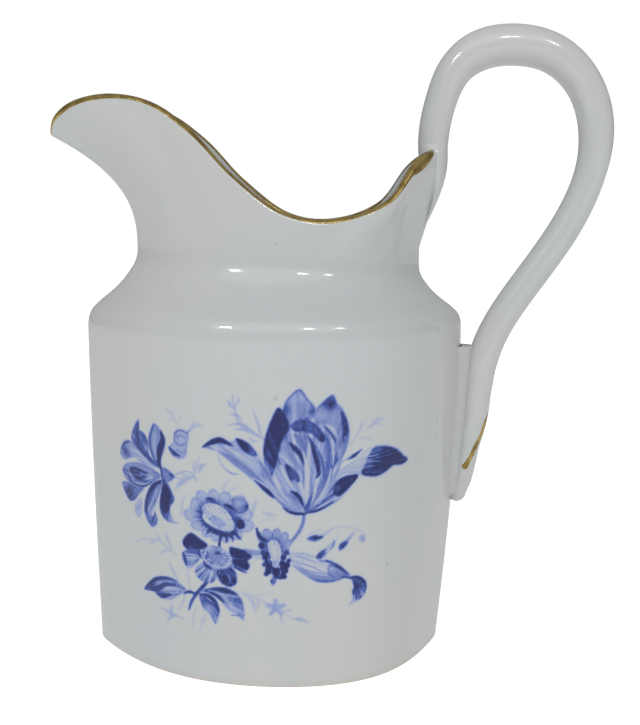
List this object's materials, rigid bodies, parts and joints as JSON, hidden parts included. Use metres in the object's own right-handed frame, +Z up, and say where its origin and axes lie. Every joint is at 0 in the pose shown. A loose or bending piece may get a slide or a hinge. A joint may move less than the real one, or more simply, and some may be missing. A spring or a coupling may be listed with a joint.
{
  "type": "porcelain cream jug",
  "caption": "Small porcelain cream jug with an oval body, helmet spout, high loop handle, gilt rim and a cobalt blue flower spray.",
  "frame": {"origin": "on the table the jug stands on, under the middle of its overall length from spout tip to handle", "axes": "+Z up, +X from the spout towards the handle, Y across the jug; the jug is alike on both sides of the XZ plane"},
  "size_m": [0.1257, 0.0632, 0.1407],
  "materials": {
    "glazed_porcelain": "gloss",
    "handle_porcelain": "gloss",
    "luting_slip": "satin",
    "gilding": "worn satin gold"
  },
  "bodies": {
    "root": {"jug_body": "glazed_porcelain", "loop_handle": "handle_porcelain", "handle_pad": "handle_porcelain", "upper_slip_joint": "luting_slip", "lower_slip_joint": "luting_slip", "gilt_rim_band": "gilding", "gilt_root_stroke_left": "gilding", "gilt_root_stroke_right": "gilding", "gilt_terminal_stroke": "gilding"}
  },
  "joints": []
}
